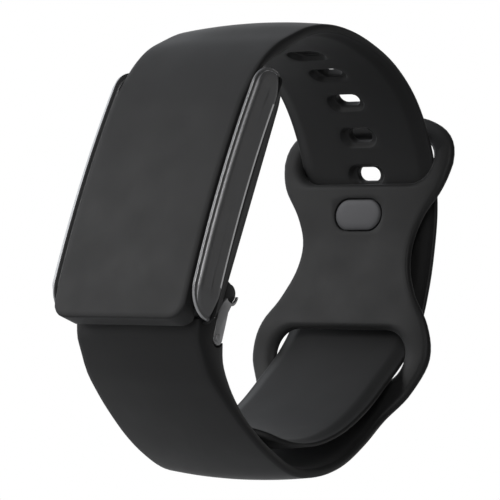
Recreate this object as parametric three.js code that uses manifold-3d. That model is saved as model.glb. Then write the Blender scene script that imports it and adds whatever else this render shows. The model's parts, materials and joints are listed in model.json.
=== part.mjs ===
// Screenless fitness tracker on a silicone band: a sensor pod between two metal side rails, a long
// strap that runs over the pod's face as its cover, and a short strap with two rings that holds the tail.
// Millimetres. X is the wrist axis, Z points up along the pod, the pod's face looks towards -Y.
// Depths (Y) are measured from the rails' middle; the finished group is then shifted so that the
// skin face of the sensor window lies at Y = 0.
import * as THREE from 'three';
import { mergeVertices } from 'three/addons/utils/BufferGeometryUtils.js';
import Module from 'manifold-3d';

const wasm = await Module();
wasm.setup();

// ---------------------------------------------------------------- driving dimensions
const railHalfWidth = 14.7;
const railInnerX = 13.1;
const railLedgeX = 14.15;
const faceY = -3.85;
const railBackY = 1.45;
const endRadius = 4.8;
const endCentreY = 1.66;
const shellEndCentreY = 2.1;
const endCentreZ = 16.8;
const bowRadius = 200;
const shellBackY = 6.6;
const skinFaceY = 7.0;
const channelGap = 0.3;
const coreHalfWidth = railInnerX - channelGap;

const lidFrontY = -1.35;
const lidThickness = 0.6;
const gasketThickness = 0.2;
const fitGap = 0.05;
const rimY = lidFrontY + lidThickness + gasketThickness + 2 * fitGap;

const floorY = 5.5;
const cavityHalfWidth = 11.1;
const cavityHalfLength = 19.4;
const bossX = 9.5;
const bossZ = 17.7;
const bossRadius = 1.85;
const windowHalf = 7.5;
const screwHeadRadius = 1.1;
const screwHeadDepth = 0.3;

const barrelY = 8.1;
const barrelZ = -14.2;
const barrelRadius = 1.55;
const barrelInnerX = 10.3;
const barrelOuterX = 11.5;
const barRadius = 0.7;

const linkSheet = 0.5;
const legInnerX = 12.0;
const legRadius = 1.15;
const pinY = 7.7;
const pinZ = -21.9;
const pinRadius = 0.6;

const coverBottomZ = -23.4;
const coverTopZ = 20.6;
const coverThickness = 1.15;
const coverSkinY = faceY - 0.1;
const stiffenerThickness = 0.45;
const lipDepthY = 1.8;
const coverCornerRadius = 2.8;

const strapHalfWidth = 13.3;
const holePitch = 6.9;
const holeWidth = 4.7;
const holeHeight = 2.6;
const recessWidth = 7.4;
const recessHeight = 4.0;
const recessDepth = 0.8;
const holesBeforeStud = 5;
const holesAfterStud = 2;
const holeSlip = 0.4;

const studBaseWidth = 9.4;
const studBaseHeight = 5.3;
const studBaseThickness = 0.6;
const studNeckWidth = 4.0;
const studNeckHeight = 1.1;
const studCapWidth = 6.2;
const studCapHeight = 3.8;
const studCapThickness = 0.8;

// ---------------------------------------------------------------- materials
function finish(color, roughness, metalness) {
  return new THREE.MeshStandardMaterial({ color, roughness, metalness });
}
const silicone = finish(0x2b2c2e, 0.75, 0);
const anodised = finish(0x3a3b3d, 0.38, 0.9);
const shellPlastic = finish(0x1c1c1d, 0.55, 0);
const steel = finish(0x8b8c8e, 0.3, 1);
const studMetal = finish(0x55565a, 0.45, 0.6);
const darkGlass = finish(0x101216, 0.1, 0);
const boardGreen = finish(0x1e4a34, 0.6, 0);
const chipBlack = finish(0x17181a, 0.5, 0);
const batteryFoil = finish(0xa7a9ac, 0.4, 0.7);
const foamGrey = finish(0x3f4144, 0.9, 0);
const gold = finish(0xc9a24a, 0.3, 1);
const flexAmber = finish(0xb5762a, 0.5, 0);
const ledClear = finish(0xdfe7da, 0.2, 0);

const tracker = new THREE.Group();

// ---------------------------------------------------------------- solid helpers
function solidOf(geometry) {
  const plain = geometry.index ? geometry.clone() : geometry;
  plain.deleteAttribute('normal');
  plain.deleteAttribute('uv');
  const merged = mergeVertices(plain, 1e-4);
  return new wasm.Manifold(new wasm.Mesh({
    numProp: 3,
    vertProperties: new Float32Array(merged.attributes.position.array),
    triVerts: new Uint32Array(merged.index.array),
  }));
}

function geometryOf(solid) {
  const mesh = solid.getMesh();
  const geometry = new THREE.BufferGeometry();
  geometry.setAttribute('position', new THREE.BufferAttribute(mesh.vertProperties, 3));
  geometry.setIndex(new THREE.BufferAttribute(mesh.triVerts, 1));
  geometry.computeVertexNormals();
  return geometry;
}

function place(name, solid, material) {
  const mesh = new THREE.Mesh(geometryOf(solid), material);
  mesh.name = name;
  tracker.add(mesh);
  return mesh;
}

// Triangles that close a ring, wound the way the ring's points run.
function capTriangles(ring) {
  const normal = new THREE.Vector3();
  ring.forEach((point, i) => normal.add(new THREE.Vector3().crossVectors(point, ring[(i + 1) % ring.length])));
  normal.normalize();
  const axisU = new THREE.Vector3().subVectors(ring[1], ring[0]).normalize();
  const axisV = new THREE.Vector3().crossVectors(normal, axisU);
  const flat = ring.map((p) => new THREE.Vector2(p.dot(axisU), p.dot(axisV)));
  return THREE.ShapeUtils.triangulateShape(flat, []);
}

// A closed skin through rings of equal point count, capped at both ends.
function loft(rings) {
  const count = rings[0].length;
  const faces = [];
  for (let r = 0; r + 1 < rings.length; r += 1) {
    for (let i = 0; i < count; i += 1) {
      const a = r * count + i;
      const b = r * count + ((i + 1) % count);
      faces.push([a, b, b + count], [a, b + count, a + count]);
    }
  }
  const lastStart = (rings.length - 1) * count;
  for (const [a, b, c] of capTriangles(rings[0])) faces.push([c, b, a]);
  for (const [a, b, c] of capTriangles(rings.at(-1))) faces.push([lastStart + a, lastStart + b, lastStart + c]);
  const geometry = new THREE.BufferGeometry();
  geometry.setAttribute('position', new THREE.Float32BufferAttribute(
    rings.flat().flatMap((p) => [p.x, p.y, p.z]), 3));
  geometry.setIndex(faces.flat());
  const solid = solidOf(geometry);
  if (solid.volume() > 0) return solid;
  geometry.setIndex(faces.flatMap(([a, b, c]) => [a, c, b]));
  return solidOf(geometry);
}

// A side profile drawn in (Y, Z), extruded along X.
function extrudeX(profile, fromX, toX, segments = 10) {
  const geometry = new THREE.ExtrudeGeometry(profile, {
    depth: toX - fromX, bevelEnabled: false, curveSegments: segments,
  });
  const turn = new THREE.Matrix4().makeBasis(
    new THREE.Vector3(0, 1, 0), new THREE.Vector3(0, 0, 1), new THREE.Vector3(1, 0, 0));
  geometry.applyMatrix4(turn);
  geometry.translate(fromX, 0, 0);
  return solidOf(geometry);
}

// A plan drawn in (X, Z), extruded along Y.
function extrudeY(plan, fromY, toY, segments = 8) {
  const geometry = new THREE.ExtrudeGeometry(plan, {
    depth: toY - fromY, bevelEnabled: false, curveSegments: segments,
  });
  geometry.rotateX(Math.PI / 2);
  geometry.translate(0, toY, 0);
  return solidOf(geometry);
}

function box(x0, x1, y0, y1, z0, z1) {
  const geometry = new THREE.BoxGeometry(x1 - x0, y1 - y0, z1 - z0);
  geometry.translate((x0 + x1) / 2, (y0 + y1) / 2, (z0 + z1) / 2);
  return solidOf(geometry);
}

function rodX(radius, fromX, toX, y, z, sides = 20) {
  const geometry = new THREE.CylinderGeometry(radius, radius, toX - fromX, sides);
  geometry.rotateZ(Math.PI / 2);
  geometry.translate((fromX + toX) / 2, y, z);
  return solidOf(geometry);
}

function rodY(radius, fromY, toY, x, z, sides = 20) {
  const geometry = new THREE.CylinderGeometry(radius, radius, toY - fromY, sides);
  geometry.translate(x, (fromY + toY) / 2, z);
  return solidOf(geometry);
}

function roundedRect(halfU, halfV, radius, centreU = 0, centreV = 0) {
  const shape = new THREE.Shape();
  shape.moveTo(centreU - halfU + radius, centreV - halfV);
  shape.lineTo(centreU + halfU - radius, centreV - halfV);
  shape.absarc(centreU + halfU - radius, centreV - halfV + radius, radius, -Math.PI / 2, 0, false);
  shape.lineTo(centreU + halfU, centreV + halfV - radius);
  shape.absarc(centreU + halfU - radius, centreV + halfV - radius, radius, 0, Math.PI / 2, false);
  shape.lineTo(centreU - halfU + radius, centreV + halfV);
  shape.absarc(centreU - halfU + radius, centreV + halfV - radius, radius, Math.PI / 2, Math.PI, false);
  shape.lineTo(centreU - halfU, centreV - halfV + radius);
  shape.absarc(centreU - halfU + radius, centreV - halfV + radius, radius, Math.PI, 1.5 * Math.PI, false);
  return shape;
}

function stadium(width, height) {
  return roundedRect(width / 2, height / 2, height / 2 - 1e-3);
}

// The pod's gentle bow towards the wrist at height z.
function bow(z) {
  return (z * z) / (2 * bowRadius);
}

// A band of even depth that follows the pod's bow, as a side profile.
function bowedBand(frontY, backY, fromZ, toZ) {
  const steps = 12;
  const heights = Array.from({ length: steps + 1 }, (_, i) => fromZ + ((toZ - fromZ) * i) / steps);
  const front = heights.map((z) => new THREE.Vector2(frontY + bow(z), z));
  const back = heights.map((z) => new THREE.Vector2(backY + bow(z), z)).reverse();
  return new THREE.Shape([...front, ...back]);
}

// The screw heads sit just under the lid's bowed front.
const screwHeadY = lidFrontY + bow(bossZ) + 0.1;

// Half the case's length at depth y, from its round ends.
function podHalfLength(y) {
  const rise = Math.min(Math.abs(y - shellEndCentreY), endRadius);
  return endCentreZ + Math.sqrt(endRadius * endRadius - rise * rise);
}

// ---------------------------------------------------------------- side rails
// The rail's side outline, inset from its full size: bowed front, round ends, bowed back edge.
function railOutline(x, inset, backInset) {
  const radius = endRadius - inset;
  const backY = railBackY - backInset;
  const endAngle = Math.acos((backY + bow(endCentreZ) - endCentreY) / radius);
  const points = [];
  const frontSteps = 8;
  const endSteps = 9;
  for (let i = 0; i <= endSteps; i += 1) {
    const angle = Math.PI + (2 * Math.PI - endAngle - Math.PI) * (i / endSteps);
    points.push(new THREE.Vector3(x, endCentreY + radius * Math.cos(angle),
      -endCentreZ + radius * Math.sin(angle)));
  }
  for (let i = 1; i < frontSteps; i += 1) {
    const z = endCentreZ * (-1 + (2 * i) / frontSteps);
    points.push(new THREE.Vector3(x, backY + bow(z), z));
  }
  for (let i = 0; i <= endSteps; i += 1) {
    const angle = endAngle + (Math.PI - endAngle) * (i / endSteps);
    points.push(new THREE.Vector3(x, endCentreY + radius * Math.cos(angle),
      endCentreZ + radius * Math.sin(angle)));
  }
  for (let i = 1; i < frontSteps; i += 1) {
    const z = endCentreZ * (1 - (2 * i) / frontSteps);
    points.push(new THREE.Vector3(x, faceY + inset + bow(z), z));
  }
  return points;
}

// A chamfered base plate with a raised side pad: the ledge between them reads as a fine groove.
function buildRail(name, side) {
  const ring = ({ x, inset, back }) => railOutline(side * x, inset, back);
  const base = [
    { x: railInnerX, inset: 0, back: 0 },
    { x: 13.7, inset: 0, back: 0 },
    { x: railLedgeX, inset: 0.42, back: 0.1 },
  ];
  const pad = [
    { x: 13.85, inset: 0.58, back: 0.15 },
    { x: 14.4, inset: 0.62, back: 0.15 },
    { x: railHalfWidth, inset: 0.92, back: 0.35 },
  ];
  place(name, loft(base.map(ring)).add(loft(pad.map(ring))), anodised);
}

// ---------------------------------------------------------------- pod case
function sectionRing(y, halfX, halfZ, radius) {
  const points = roundedRect(halfX, halfZ, radius).getPoints(4);
  points.pop();
  return points.map((p) => new THREE.Vector3(p.x, y, p.y));
}

function buildBackShell() {
  const shoulderY = railBackY + channelGap + bow(endCentreZ);
  const wide = loft([
    sectionRing(shoulderY, 14.3, podHalfLength(shoulderY), 3),
    sectionRing(4.6, 13.7, podHalfLength(4.6), 3),
    sectionRing(6.0, 12.7, podHalfLength(6.0), 3),
    sectionRing(shellBackY, 11.9, podHalfLength(shellBackY), 3),
  ]);
  const narrow = loft([
    sectionRing(-1, coreHalfWidth, podHalfLength(-1), 2),
    sectionRing(1, coreHalfWidth, podHalfLength(1), 2),
    sectionRing(shoulderY + 0.2, coreHalfWidth, podHalfLength(shoulderY + 0.2), 2),
  ]);
  const overRim = extrudeX(bowedBand(-9, rimY, -30, 30), -20, 20);
  const cavity = loft([
    sectionRing(-5, cavityHalfWidth, cavityHalfLength, 1.5),
    sectionRing(3.9, cavityHalfWidth, cavityHalfLength, 1.5),
    sectionRing(floorY, cavityHalfWidth - 0.2, 17.4, 1.5),
  ]);
  let shell = wide.add(narrow).subtract(cavity);
  for (const sideX of [-1, 1]) {
    for (const sideZ of [-1, 1]) {
      shell = shell.add(rodY(bossRadius, -3, floorY + 0.2, sideX * bossX, sideZ * bossZ));
    }
    const ear = rodX(barrelRadius, Math.min(sideX * barrelInnerX, sideX * barrelOuterX),
      Math.max(sideX * barrelInnerX, sideX * barrelOuterX), barrelY, barrelZ, 28);
    const neck = box(Math.min(sideX * barrelInnerX, sideX * barrelOuterX),
      Math.max(sideX * barrelInnerX, sideX * barrelOuterX),
      shellBackY - 0.5, barrelY, barrelZ - 1.3, barrelZ + 1.3);
    shell = shell.add(ear).add(neck);
  }
  shell = shell.subtract(overRim);
  for (const sideX of [-1, 1]) {
    for (const sideZ of [-1, 1]) {
      shell = shell.subtract(rodY(0.55, -3, 3.2, sideX * bossX, sideZ * bossZ, 12));
    }
  }
  for (const contactX of [-2.2, 2.2]) {
    shell = shell.subtract(rodY(1.1, floorY - 1, shellBackY + 1, contactX, 14.2, 16));
  }
  shell = shell.subtract(rodX(barRadius + 0.1, -railHalfWidth, railHalfWidth, barrelY, barrelZ));
  shell = shell.subtract(extrudeY(roundedRect(windowHalf, windowHalf, 2.5), floorY - 1, shellBackY + 1));
  place('back_shell', shell, shellPlastic);
}

function buildLidAndGasket() {
  const lidPlan = extrudeY(roundedRect(coreHalfWidth, 20.4, 2), -6, 6, 3);
  const lidBackY = lidFrontY + lidThickness;
  let lid = extrudeX(bowedBand(lidFrontY, lidBackY, -21, 21), -20, 20).intersect(lidPlan);
  const seatY = lidBackY + fitGap;
  const ring = extrudeY(roundedRect(coreHalfWidth - 0.2, 20.2, 1.8), -6, 6, 3)
    .subtract(extrudeY(roundedRect(cavityHalfWidth + 0.2, cavityHalfLength + 0.1, 1.5), -7, 7, 3));
  const gasket = extrudeX(bowedBand(seatY, seatY + gasketThickness, -21, 21), -20, 20).intersect(ring);
  for (const sideX of [-1, 1]) {
    for (const sideZ of [-1, 1]) {
      lid = lid.subtract(rodY(0.55, -4, 4, sideX * bossX, sideZ * bossZ, 12));
      lid = lid.subtract(rodY(screwHeadRadius + 0.1, -4, screwHeadY + screwHeadDepth + fitGap,
        sideX * bossX, sideZ * bossZ, 16));
    }
  }
  place('case_lid', lid, shellPlastic);
  place('lid_gasket', gasket, foamGrey);
}

function buildCaseScrews() {
  let number = 1;
  for (const sideX of [-1, 1]) {
    for (const sideZ of [-1, 1]) {
      const head = rodY(screwHeadRadius, screwHeadY, screwHeadY + screwHeadDepth, sideX * bossX, sideZ * bossZ, 16);
      const shank = rodY(0.45, screwHeadY + 0.1, 2.9, sideX * bossX, sideZ * bossZ, 10);
      place(`case_screw_${number}`, head.add(shank), steel);
      number += 1;
    }
  }
}

// ---------------------------------------------------------------- inside the pod
function buildSensorStack() {
  const pane = extrudeY(roundedRect(windowHalf - 0.15, windowHalf - 0.15, 2.35), floorY + 0.25, skinFaceY);
  place('sensor_window', pane, darkGlass);
  place('sensor_board', box(-8.6, 8.6, 4.05, 4.6, -8.6, 8.6), boardGreen);
  let baffle = box(-6.6, 6.6, 4.65, 5.65, -6.6, 6.6);
  const ledPlaces = [[0, 0]];
  const diodePlaces = [[-4.2, 0], [4.2, 0], [0, 4.2], [0, -4.2]];
  for (const [x, z] of [...ledPlaces, ...diodePlaces]) {
    baffle = baffle.subtract(box(x - 1.6, x + 1.6, 4, 6, z - 1.6, z + 1.6));
  }
  place('light_baffle', baffle, chipBlack);
  place('led_cluster', box(-1.3, 1.3, 4.65, 5.3, -1.3, 1.3), ledClear);
  diodePlaces.forEach(([x, z], i) => {
    place(`photodiode_${i + 1}`, box(x - 1.2, x + 1.2, 4.65, 5.2, z - 1.2, z + 1.2), darkGlass);
  });
}

function buildElectronics() {
  place('battery_cell', extrudeY(roundedRect(9.8, 10.7, 1, 0, -4.9), 0.35, 3.35, 3), batteryFoil);
  place('battery_foam', box(-8.5, 8.5, 3.45, 3.85, -14.6, 4.6), foamGrey);
  place('main_board', box(-7.4, 7.4, 1.55, 2.15, 6.8, 19.0), boardGreen);
  place('shield_can', box(-6.2, 3.4, 0.5, 1.5, 8.0, 16.6), steel);
  place('radio_chip', box(4.2, 7.0, 0.75, 1.5, 9.0, 12.0), chipBlack);
  place('memory_chip', box(4.2, 6.8, 0.8, 1.5, 13.4, 16.2), chipBlack);
  place('motion_sensor', box(-7.0, -4.6, 2.2, 2.95, 16.2, 18.4), chipBlack);
  place('battery_flex', box(-2.5, 2.5, 2.25, 2.4, 6.3, 8.4), flexAmber);
  place('antenna_strip', box(8.0, 8.3, 0.6, 3.2, 7.0, 15.4), gold);
  [-2.2, 2.2].forEach((x, i) => {
    const pad = rodY(0.95, 6.1, shellBackY + 0.05, x, 14.2, 16);
    const stem = rodY(0.45, 5.35, 6.3, x, 14.2, 12);
    place(`charge_contact_${i + 1}`, pad.add(stem), gold);
  });
}

// Linear vibration motor: a cup and its lid, with a weight that travels along Y between them.
function buildHapticMotor() {
  const motorZ = 12.7;
  const frontY = 2.45;
  const backY = 5.1;
  const radius = 3.6;
  const wall = 0.3;
  const cup = rodY(radius, frontY + wall, backY, 0, motorZ, 28)
    .subtract(rodY(radius - wall, frontY, backY - wall, 0, motorZ, 28));
  place('motor_cup', cup, steel);
  place('motor_lid', rodY(radius - 0.1, frontY, frontY + wall - fitGap, 0, motorZ, 28), steel);
  const middleY = (frontY + wall + backY - wall) / 2;
  place('motor_weight', rodY(2.8, middleY - 0.55, middleY + 0.55, 0, motorZ, 24), studMetal);
}

// ---------------------------------------------------------------- hinge bar and link
function buildHingeBar() {
  place('hinge_bar', rodX(barRadius, -barrelOuterX + 0.1, barrelOuterX - 0.1, barrelY, barrelZ), steel);
}

// Side leg of the link: a flat bar with a round foot on the pin, whose top hugs the barrel from below.
function legProfile() {
  const hug = barrelRadius + 0.2;
  const horn = hug + 0.4;
  const profile = new THREE.Shape();
  profile.moveTo(pinY - legRadius, pinZ);
  profile.lineTo(6.9, -17.2);
  profile.absarc(barrelY, barrelZ, hug, -2.15, -0.45, false);
  profile.absarc(barrelY, barrelZ, horn, -0.45, -1.25, true);
  profile.lineTo(8.25, -17.6);
  profile.lineTo(pinY + legRadius, pinZ);
  profile.absarc(pinY, pinZ, legRadius, 0, -Math.PI, true);
  return profile;
}

function buildLink() {
  const knuckleInner = barRadius + 0.15;
  const knuckleOuter = knuckleInner + 0.45;
  const knuckleHalf = barrelInnerX - 0.2;
  const roll = rodX(knuckleOuter, -knuckleHalf, knuckleHalf, barrelY, barrelZ, 28)
    .subtract(rodX(knuckleInner, -20, 20, barrelY, barrelZ, 28));
  const tab = box(-knuckleHalf, knuckleHalf, 7.15, 7.65, -16.4, barrelZ - knuckleInner - 0.15);
  const web = box(-legInnerX - linkSheet, legInnerX + linkSheet, 7.15, 7.65, -17.7, -16.2);
  const legs = [-1, 1].map((side) => {
    const x = side > 0 ? legInnerX : -legInnerX - linkSheet;
    return extrudeX(legProfile(), x, x + linkSheet, 8);
  });
  const bore = rodX(pinRadius + 0.1, -20, 20, pinY, pinZ);
  place('strap_link', roll.add(tab).add(web).add(legs[0]).add(legs[1]).subtract(bore), steel);
}

// ---------------------------------------------------------------- straps
// A strap follows stations: its skin-side centre line at (y, z), its thickness and its half width.
function strapPath(stations, outwardSign) {
  const centre = new THREE.SplineCurve(stations.map((s) => new THREE.Vector2(s.y, s.z)));
  const size = new THREE.SplineCurve(stations.map((s) => new THREE.Vector2(s.thick, s.half)));
  const frameAt = (t) => {
    const point = centre.getPoint(t);
    const tangent = centre.getTangent(t);
    const along = new THREE.Vector3(0, tangent.x, tangent.y);
    const outward = new THREE.Vector3(0, -tangent.y, tangent.x).multiplyScalar(outwardSign);
    const extent = size.getPoint(t);
    return { origin: new THREE.Vector3(0, point.x, point.y), along, outward,
      thick: extent.x, half: extent.y };
  };
  return { centre, frameAt };
}

// Cross-section: flat on the skin side with wide bevels, crowned outside, with soft edges.
function strapSection(half, thick) {
  const crown = Math.min(0.36 * thick, 1.3);
  const bevel = Math.min(2.4, half * 0.4);
  const outer = (u) => thick - crown * (u / half) ** 2;
  const edge = 0.35;
  return [
    [-(half - bevel), 0], [half - bevel, 0],
    [half - 0.25, outer(half) * 0.42], [half, outer(half) * 0.66],
    [half - edge, outer(half - edge)], [half * 0.72, outer(half * 0.72)],
    [half * 0.36, outer(half * 0.36)], [0, outer(0)], [-half * 0.36, outer(half * 0.36)],
    [-half * 0.72, outer(half * 0.72)], [-(half - edge), outer(half - edge)],
    [-half, outer(half) * 0.66], [-(half - 0.25), outer(half) * 0.42],
  ];
}

function strapSolid(path, steps) {
  const rings = [];
  for (let i = 0; i <= steps; i += 1) {
    const { origin, outward, thick, half } = path.frameAt(i / steps);
    rings.push(strapSection(half, thick).map(([u, v]) =>
      origin.clone().add(new THREE.Vector3(u, 0, 0)).addScaledVector(outward, v)));
  }
  return loft(rings);
}

// A prism that stands on the strap at a frame, from depth v0 to v1 along the outward direction.
function prismAt(frame, shape, v0, v1, segments = 8) {
  const geometry = new THREE.ExtrudeGeometry(shape, {
    depth: v1 - v0, bevelEnabled: false, curveSegments: segments,
  });
  const across = new THREE.Vector3(1, 0, 0);
  const up = new THREE.Vector3().crossVectors(frame.outward, across);
  const base = frame.origin.clone().addScaledVector(frame.outward, v0);
  const matrix = new THREE.Matrix4().makeBasis(across, up, frame.outward).setPosition(base);
  geometry.applyMatrix4(matrix);
  return solidOf(geometry);
}

// The path's parameter nearest to a straight line through a point.
function parameterNearest(path, point, direction) {
  const samples = 2000;
  let best = { t: 0, distance: Infinity };
  for (let i = 0; i <= samples; i += 1) {
    const t = i / samples;
    const offset = path.frameAt(t).origin.sub(point);
    const along = offset.dot(direction);
    const distance = offset.addScaledVector(direction, -along).length();
    if (along > 0 && along < 10 && distance < best.distance) best = { t, distance };
  }
  return best.t;
}

// The parameter that lies a given arc length further along the path.
function parameterAfter(path, fromT, length) {
  const samples = 4000;
  const sign = Math.sign(length);
  let travelled = 0;
  let last = path.centre.getPoint(fromT);
  let t = fromT;
  while (travelled < Math.abs(length) && t > 0 && t < 1) {
    t += sign / samples;
    const next = path.centre.getPoint(t);
    travelled += next.distanceTo(last);
    last = next;
  }
  return t;
}

const longStrap = strapPath([
  { y: 1.9, z: 22.6, thick: 2.9, half: 12.5 },
  { y: 3.2, z: 24.8, thick: 2.8, half: 12.8 },
  { y: 5.2, z: 27.6, thick: 2.5, half: 13.2 },
  { y: 8.3, z: 30.5, thick: 2.2, half: strapHalfWidth },
  { y: 12.7, z: 33.3, thick: 2.1, half: strapHalfWidth },
  { y: 18.4, z: 35.5, thick: 2.1, half: strapHalfWidth },
  { y: 24.7, z: 36.6, thick: 2.1, half: strapHalfWidth },
  { y: 31.3, z: 36.6, thick: 2.1, half: strapHalfWidth },
  { y: 37.6, z: 35.1, thick: 2.1, half: strapHalfWidth },
  { y: 43.4, z: 32.0, thick: 2.1, half: strapHalfWidth },
  { y: 48.4, z: 27.6, thick: 2.1, half: strapHalfWidth },
  { y: 52.2, z: 21.8, thick: 2.1, half: strapHalfWidth },
  { y: 54.4, z: 15.4, thick: 2.1, half: strapHalfWidth },
  { y: 55.9, z: 8.8, thick: 2.1, half: strapHalfWidth },
  { y: 56.3, z: 2.4, thick: 2.1, half: strapHalfWidth },
  { y: 54.4, z: -3.8, thick: 2.1, half: strapHalfWidth },
  { y: 51.3, z: -9.8, thick: 2.1, half: strapHalfWidth },
  { y: 47.7, z: -16.2, thick: 2.1, half: strapHalfWidth },
  { y: 42.6, z: -22.4, thick: 2.0, half: strapHalfWidth },
  { y: 36.2, z: -27.0, thick: 1.9, half: strapHalfWidth },
  { y: 29.4, z: -29.2, thick: 1.8, half: 12.4 },
  { y: 24.0, z: -29.2, thick: 1.5, half: 7.5 },
], 1);

const shortStrap = strapPath([
  { y: 8.5, z: -19.5, thick: 5.6, half: 12.9 },
  { y: 9.7, z: -22.0, thick: 6.1, half: 12.9 },
  { y: 11.0, z: -24.7, thick: 5.2, half: 12.9 },
  { y: 13.4, z: -27.2, thick: 4.2, half: 13.0 },
  { y: 17.4, z: -29.7, thick: 3.5, half: 13.1 },
  { y: 22.4, z: -31.5, thick: 2.9, half: 13.2 },
  { y: 28.0, z: -32.5, thick: 2.5, half: strapHalfWidth },
  { y: 34.0, z: -32.5, thick: 2.3, half: strapHalfWidth },
  { y: 39.8, z: -30.3, thick: 2.2, half: strapHalfWidth },
  { y: 45.1, z: -26.4, thick: 2.2, half: strapHalfWidth },
  { y: 49.6, z: -21.0, thick: 2.2, half: strapHalfWidth },
  { y: 52.9, z: -15.6, thick: 2.3, half: 13.5 },
  { y: 54.8, z: -10.2, thick: 2.5, half: 15.9 },
  { y: 54.6, z: -4.8, thick: 2.6, half: 18.2 },
  { y: 53.1, z: 0.6, thick: 2.4, half: 16.9 },
  { y: 52.4, z: 5.6, thick: 2.2, half: 13.5 },
  { y: 51.6, z: 10.4, thick: 2.1, half: 11.7 },
  { y: 50.7, z: 15.2, thick: 2.1, half: 11.9 },
  { y: 49.4, z: 19.7, thick: 2.1, half: 13.8 },
  { y: 47.9, z: 24.4, thick: 2.3, half: 16.6 },
  { y: 47.3, z: 28.6, thick: 2.5, half: 17.5 },
  { y: 47.5, z: 32.2, thick: 2.5, half: 17.2 },
  { y: 47.8, z: 35.0, thick: 2.4, half: 15.4 },
  { y: 48.1, z: 37.1, thick: 2.2, half: 11.4 },
  { y: 48.3, z: 38.2, thick: 1.9, half: 6.5 },
], -1);

const studPoint = new THREE.Vector3(0, 49.4, 19.7);

function frameNear(path, point) {
  const samples = 2000;
  let best = { t: 0, distance: Infinity };
  for (let i = 0; i <= samples; i += 1) {
    const distance = path.frameAt(i / samples).origin.distanceTo(point);
    if (distance < best.distance) best = { t: i / samples, distance };
  }
  return path.frameAt(best.t);
}

function buildLongStrap(studFrame) {
  let strap = strapSolid(longStrap, 46);
  const studT = parameterNearest(longStrap, studFrame.origin, studFrame.outward);
  for (let k = -holesBeforeStud; k <= holesAfterStud; k += 1) {
    const t = parameterAfter(longStrap, studT, k * holePitch - holeSlip);
    const frame = longStrap.frameAt(t);
    strap = strap.subtract(prismAt(frame, stadium(holeWidth, holeHeight), -1, 4, 3));
    strap = strap.subtract(prismAt(frame, stadium(recessWidth, recessHeight), -1, recessDepth, 3));
  }
  place('long_strap', strap, silicone);
}

function buildShortStrap(studFrame) {
  let strap = strapSolid(shortStrap, 52);
  const upperSlot = { y: 47.3, z: 29.1, halfX: 13.8, halfS: 4.2 };
  const lowerSlot = { y: 54.6, z: -4.6, halfX: 13.9, halfS: 5.0 };
  for (const slot of [upperSlot, lowerSlot]) {
    const frame = frameNear(shortStrap, new THREE.Vector3(0, slot.y, slot.z));
    const shape = roundedRect(slot.halfX, slot.halfS, slot.halfS - 0.6);
    strap = strap.subtract(prismAt(frame, shape, -4, 6, 6));
  }
  strap = strap.subtract(prismAt(studFrame, stadium(studBaseWidth + 0.3, studBaseHeight + 0.3),
    -1, studBaseThickness + fitGap, 8));
  strap = strap.subtract(prismAt(studFrame, stadium(studNeckWidth + 0.4, studNeckHeight + 0.4), -1, 4, 6));
  strap = strap.subtract(rodX(pinRadius + 0.5, -20, 20, pinY, pinZ));
  for (const side of [-1, 1]) {
    const x0 = Math.min(side * 11.7, side * 15);
    const x1 = Math.max(side * 11.7, side * 15);
    strap = strap.subtract(rodX(legRadius + 0.45, x0, x1, pinY, pinZ, 24));
    strap = strap.subtract(box(x0, x1, pinY - legRadius - 0.6, 12, pinZ, pinZ + 5));
  }
  place('short_strap', strap, silicone);
}

function buildPin() {
  place('link_pin', rodX(pinRadius, -12.8, 12.8, pinY, pinZ, 16), steel);
  const bush = rodX(pinRadius + 0.4, -11.6, 11.6, pinY, pinZ, 20)
    .subtract(rodX(pinRadius + 0.1, -20, 20, pinY, pinZ, 16));
  place('pin_bush', bush, studMetal);
}

function buildStud(frame) {
  const longT = parameterNearest(longStrap, frame.origin, frame.outward);
  const longFrame = longStrap.frameAt(longT);
  const rise = longFrame.origin.clone().sub(frame.origin).dot(frame.outward);
  const capFrom = rise + longFrame.thick + 0.3;
  const base = prismAt(frame, stadium(studBaseWidth, studBaseHeight), 0, studBaseThickness, 8);
  const neck = prismAt(frame, stadium(studNeckWidth, studNeckHeight), 0.3, capFrom + 0.3, 6);
  place('stud_base', base.add(neck), studMetal);
  const cap = prismAt(frame, stadium(studCapWidth, studCapHeight), capFrom, capFrom + studCapThickness, 8);
  const seat = prismAt(frame, stadium(studNeckWidth + 0.1, studNeckHeight + 0.1), 0, capFrom + 0.35, 6);
  place('stud_cap', cap.subtract(seat), studMetal);
}

// ---------------------------------------------------------------- face cover
function coverPlan() {
  const middleZ = (coverBottomZ + coverTopZ + 10) / 2;
  return roundedRect(coreHalfWidth, (coverTopZ + 10 - coverBottomZ) / 2, coverCornerRadius, 0, middleZ);
}

function buildFaceCover() {
  const backY = coverSkinY + coverThickness;
  const outline = extrudeY(coverPlan(), -8, 6);
  const sheet = extrudeX(bowedBand(coverSkinY, backY, coverBottomZ, coverTopZ), -coreHalfWidth, coreHalfWidth);
  const lip = box(-coreHalfWidth, coreHalfWidth, coverSkinY + bow(coverBottomZ) + 0.3, lipDepthY,
    coverBottomZ, coverBottomZ + 1);
  place('face_cover', sheet.add(lip).intersect(outline), silicone);

  const frontY = backY + fitGap;
  const steelBottomZ = coverBottomZ + 1.05;
  const inset = 0.5;
  const band = extrudeX(bowedBand(frontY, frontY + stiffenerThickness, steelBottomZ, coverTopZ - 1),
    -coreHalfWidth + inset, coreHalfWidth - inset);
  const hook = box(-coreHalfWidth + inset + 2, coreHalfWidth - inset - 2, frontY + bow(steelBottomZ) + 0.1,
    lipDepthY - 0.3, steelBottomZ, steelBottomZ + 0.4);
  place('cover_stiffener', band.add(hook).intersect(outline), steel);
}

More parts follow.
